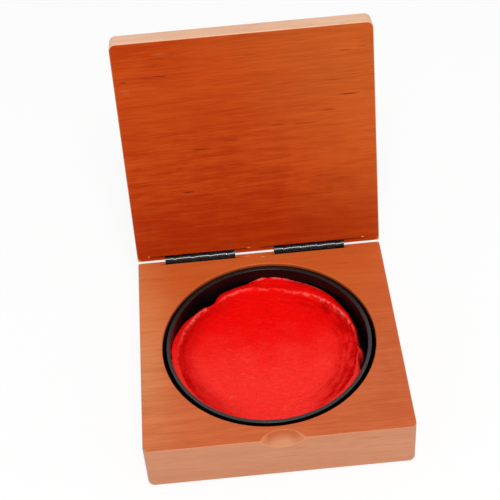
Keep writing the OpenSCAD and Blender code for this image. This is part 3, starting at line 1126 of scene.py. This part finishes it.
def plastic_finish(name, body_colour, roughness, specular, waviness, rim_sheen_top=None):
    """Glossy black plastic with faint moulding waves, fine dust-dull patches and, where it
    has one, a top at a height in millimetres with a painted grey reflection, most in front."""
    material, tree, shader = new_material(name)
    place = millimetres(tree)
    waves = noise_of(tree, place, (0.35, 0.35, 0.35), 2.0)
    dull = noise_of(tree, place, (0.9, 0.9, 0.9), 4.0, 0.65)
    body = blended(
        tree, span_of(tree, dull, 0.45, 0.75), rgba(body_colour),
        rgba([c * 1.7 + 0.001 for c in body_colour]),
    )
    if rim_sheen_top:
        y, z = put(tree, "SeparateXYZ", None, {0: place}).outputs[1:]
        # painted reflection: grey along the rim top, patchy and stronger in front
        rim_sheen = span_of(tree, z, rim_sheen_top - 0.2, rim_sheen_top - 0.02)
        rim_sheen = product(tree, rim_sheen, span_of(tree, dull, 0.2, 0.7, 0.65, 1.0))
        rim_sheen = product(tree, rim_sheen, span_of(tree, y, 25.0, -5.0, 0.3, 1.0))
        body = blended(tree, rim_sheen, body, rgba(RIM_SHEEN_GREY))
    rough = span_of(tree, dull, 0.35, 0.7, roughness * 0.85, roughness * 1.35)
    connect(tree, shader, body, rough, bumped(tree, waves, 0.02 * MM, waviness))
    shader.inputs["Specular IOR Level"].default_value = specular
    return material


def steel_finish(name, body_colour):
    """Drawn steel wire with fine lines along X."""
    material, tree, shader = new_material(name)
    lines = noise_of(tree, millimetres(tree), (0.1, 14.0, 14.0), 3.0, 0.6)
    body = blended(
        tree, span_of(tree, lines, 0.3, 0.7), rgba(body_colour), rgba(body_colour, 0.7)
    )
    rough = span_of(tree, lines, 0.3, 0.7, 0.28, 0.42)
    connect(tree, shader, body, rough, bumped(tree, lines, 0.01 * MM, 0.4))
    shader.inputs["Metallic"].default_value = 1.0
    return material


def foam_finish(name, body_colour):
    """Fine closed-cell foam."""
    material, tree, shader = new_material(name)
    cells = put(tree, "TexVoronoi", {"feature": "F1"}, {
        "Vector": millimetres(tree), "Scale": 3.2, "Randomness": 1.0,
    }).outputs["Distance"]
    body = blended(
        tree, span_of(tree, cells, 0.1, 0.6), rgba(body_colour, 0.82), rgba(body_colour)
    )
    rough = span_of(tree, cells, 0.1, 0.6, 0.95, 0.8)
    connect(tree, shader, body, rough, bumped(tree, cells, 0.08 * MM, 0.6))
    return material


def paste_finish(name, cup):
    """Oily red paste: fine fibres and grains, with a painted sheen in front, painted highlights
    on the ridge and in specks, and painted shade along both sides and in thin creases."""
    material, tree, shader = new_material(name)
    place = millimetres(tree)
    y = put(tree, "SeparateXYZ", None, {0: place}).outputs[1]
    side_shade, pale = (
        put(tree, "Attribute", {"attribute_name": mask}).outputs["Fac"]
        for mask in ("side_shade", "ridge_highlight")
    )
    grains = noise_of(tree, place, (1.5, 1.5, 1.5), 4.0, 0.62)
    fibres = noise_of(tree, place, (0.5, 1.2, 0.8), 3.0, 0.6, 1.5)
    tone = noise_of(tree, place, (0.09, 0.09, 0.09), 3.0)
    specks = noise_of(tree, place, (0.55, 0.8, 0.7), 2.0, 0.55, 1.2)
    # painted sheen in front, weaker where the sides are shaded
    forward = maths(tree, "MULTIPLY_ADD", tone, -26.0, y)
    front = product(tree, span_of(tree, forward, 4.0, -26.0),
                    span_of(tree, side_shade, 0.0, 1.0, 1.0, 0.35))
    body = blended(tree, front, rgba(cup.red), rgba(cup.sheen))
    # painted glints: pale specks, more in front
    glint = product(tree, span_of(tree, specks, 0.54, 0.74),
                    span_of(tree, forward, 2.0, -20.0, 0.03, 0.20))
    body = blended(tree, glint, body, rgba(cup.ridge))
    # painted shade along both sides, mixed with darker fibres
    deep = rgba([c * share for c, share in zip(cup.red, (0.5, 0.3, 0.3))])
    side_shade = product(tree, side_shade, span_of(tree, specks, 0.3, 0.6, 0.55, 1.0))
    fibrous = span_of(tree, fibres, 0.5, 0.78)
    body = blended(tree, maths(tree, "MULTIPLY_ADD", fibrous, 0.22, side_shade), body, deep)
    # painted shade in thin creases
    crease_shade = noise_of(tree, place, (0.42, 0.62, 0.5), 2.0, 0.6, 2.2)
    crease_shade = maths(tree, "ABSOLUTE", maths(tree, "SUBTRACT", crease_shade, 0.5))
    body = blended(tree, span_of(tree, crease_shade, 0.0, 0.035, 0.16, 0.0), body, deep)
    # painted highlight along the ridge and the back edge
    pale = product(tree, pale, span_of(tree, grains, 0.25, 0.6, 0.45, 1.0))
    body = blended(tree, pale, body, rgba(cup.ridge))
    rough = span_of(tree, grains, 0.3, 0.7, 0.26, 0.40)
    normal = bumped(tree, fibres, 0.45 * MM, 0.75)
    connect(tree, shader, body, rough, bumped(tree, grains, 0.16 * MM, 0.7, normal))
    shader.inputs["Specular IOR Level"].default_value = 0.03
    return material


FLOOR_DROP = 0.05 * MM  # the floor lies this far under the box
FLOOR_WHITE = 0.84  # share of the floor's look that is plain white
LOOK_AT = (0, 0, 0.02)
KEY_PLACE, KEY_SIZE = (0.015, -0.60, 0.98), (0.38, 0.32)
# The camera, fitted to the photo's edges: its place and its right, down and forward axes
CAMERA_PLACE = (-0.010518, -0.334159, 0.406577)
CAMERA_RIGHT = Vector((0.99546642, -0.07580757, -0.05744401))
CAMERA_DOWN = Vector((-0.09423541, -0.70419972, -0.70372043))
CAMERA_AHEAD = Vector((0.01289528, 0.70594332, -0.70815093))


def seen_by_eye(tree):
    """1 for camera, glossy and transmission rays and 0 for light on surfaces."""
    path = put(tree, "LightPath")
    camera, glossy, through = (
        path.outputs["Is %s Ray" % kind] for kind in ("Camera", "Glossy", "Transmission")
    )
    return maths(tree, "MAXIMUM", maths(tree, "MAXIMUM", camera, glossy), through)


def floor_finish(name, floor_colour):
    """Pale matt floor, which looks white and keeps the shadow on it."""
    material, tree, shader = new_material(name)
    shader.inputs["Base Color"].default_value = rgba(floor_colour)
    shader.inputs["Roughness"].default_value = 1.0
    shader.inputs["Specular IOR Level"].default_value = 0.0
    white = put(tree, "Emission", None, {"Color": (1, 1, 1, 1), "Strength": 1.0})
    share = product(tree, seen_by_eye(tree), FLOOR_WHITE)
    mixed = put(tree, "MixShader", None, {
        0: share, 1: shader.outputs[0], 2: white.outputs[0],
    })
    output = [n for n in tree.nodes if n.type == "OUTPUT_MATERIAL"][0]
    tree.links.new(mixed.outputs[0], output.inputs["Surface"])
    return material


def add_lamp(name, place, target, size, power):
    """A flat lamp at a place that faces a target and isn't seen by the camera."""
    deselect()
    aim = (Vector(target) - Vector(place)).to_track_quat("-Z", "Y").to_euler()
    bpy.ops.object.light_add(type="AREA", location=place, rotation=aim)
    lamp = named(name)
    lamp.data.shape = "RECTANGLE"
    lamp.data.size, lamp.data.size_y = size
    lamp.data.energy = power
    lamp.visible_camera = False
    return lamp


class SEALBOX_OT_stage(bpy.types.Operator):
    """Adds the floor, the soft light and the camera"""

    bl_idname = "sealbox.stage"
    bl_label = "Floor, light and camera"

    def execute(self, context):
        stage = context.scene.sealbox_stage
        deselect()
        bpy.ops.mesh.primitive_circle_add(
            vertices=96, radius=stage.floor_radius, fill_type="NGON",
            location=(0, 0, -FLOOR_DROP),
        )
        floor = settle(named("studio_floor"))
        floor.data.materials.append(floor_finish("floor_white", stage.floor))

        world = bpy.data.worlds.new("studio_white")
        context.scene.world = world
        world.use_nodes = True
        tree = world.node_tree
        tree.nodes.clear()
        level = span_of(tree, seen_by_eye(tree), 0.0, 1.0, stage.around, 1.0, soft=False)
        around = put(
            tree, "Background", None, {"Color": (1, 1, 1, 1), "Strength": level}
        )
        put(tree, "OutputWorld", None, {"Surface": around.outputs[0]})

        add_lamp("key_lamp", KEY_PLACE, LOOK_AT, KEY_SIZE, stage.key_power)

        axes = (CAMERA_RIGHT, -CAMERA_DOWN, -CAMERA_AHEAD)
        turn = Matrix(axes).transposed().to_4x4()
        deselect()
        bpy.ops.object.camera_add()
        camera = named("camera")
        camera.matrix_world = Matrix.Translation(CAMERA_PLACE) @ turn
        camera.data.lens = stage.lens
        camera.data.sensor_width = 36
        camera.data.clip_start = 0.01
        context.scene.camera = camera
        context.scene.view_settings.view_transform = "Standard"
        return {"FINISHED"}


class SEALBOX_PT_panel(bpy.types.Panel):
    """Lists the steps that build the seal paste box"""

    bl_label = "Seal paste box"
    bl_idname = "SEALBOX_PT_panel"
    bl_space_type = "VIEW_3D"
    bl_region_type = "UI"
    bl_category = "Seal box"

    def draw(self, context):
        for step in STEPS:
            self.layout.operator(step.bl_idname)
        for group in GROUPS:
            values = getattr(context.scene, group)
            box = self.layout.box()
            for name in values.bl_rna.properties.keys():
                if name not in ("rna_type", "name"):
                    box.prop(values, name)


STEPS = (
    SEALBOX_OT_stage, SEALBOX_OT_base, SEALBOX_OT_lid, SEALBOX_OT_cup, SEALBOX_OT_pad,
    SEALBOX_OT_paste, SEALBOX_OT_hinges,
)
GROUPS = {
    "sealbox_wood": SEALBOX_PG_wood,
    "sealbox_cup": SEALBOX_PG_cup,
    "sealbox_hinge": SEALBOX_PG_hinge,
    "sealbox_stage": SEALBOX_PG_stage,
}


def register():
    """Registers the values, the steps and the panel."""
    for name, group in GROUPS.items():
        bpy.utils.register_class(group)
        setattr(bpy.types.Scene, name, bpy.props.PointerProperty(type=group))
    for step in (*STEPS, SEALBOX_PT_panel):
        bpy.utils.register_class(step)


def unregister():
    """Takes back what register() did."""
    for step in reversed((*STEPS, SEALBOX_PT_panel)):
        bpy.utils.unregister_class(step)
    for name, group in GROUPS.items():
        delattr(bpy.types.Scene, name)
        bpy.utils.unregister_class(group)


def main():
    """Builds the whole scene."""
    register()
    bpy.ops.sealbox.stage()
    bpy.ops.sealbox.base()
    bpy.ops.sealbox.lid()
    bpy.ops.sealbox.cup()
    bpy.ops.sealbox.pad()
    bpy.ops.sealbox.paste()
    bpy.ops.sealbox.hinges()
    deselect()


if __name__ == "__main__":
    main()
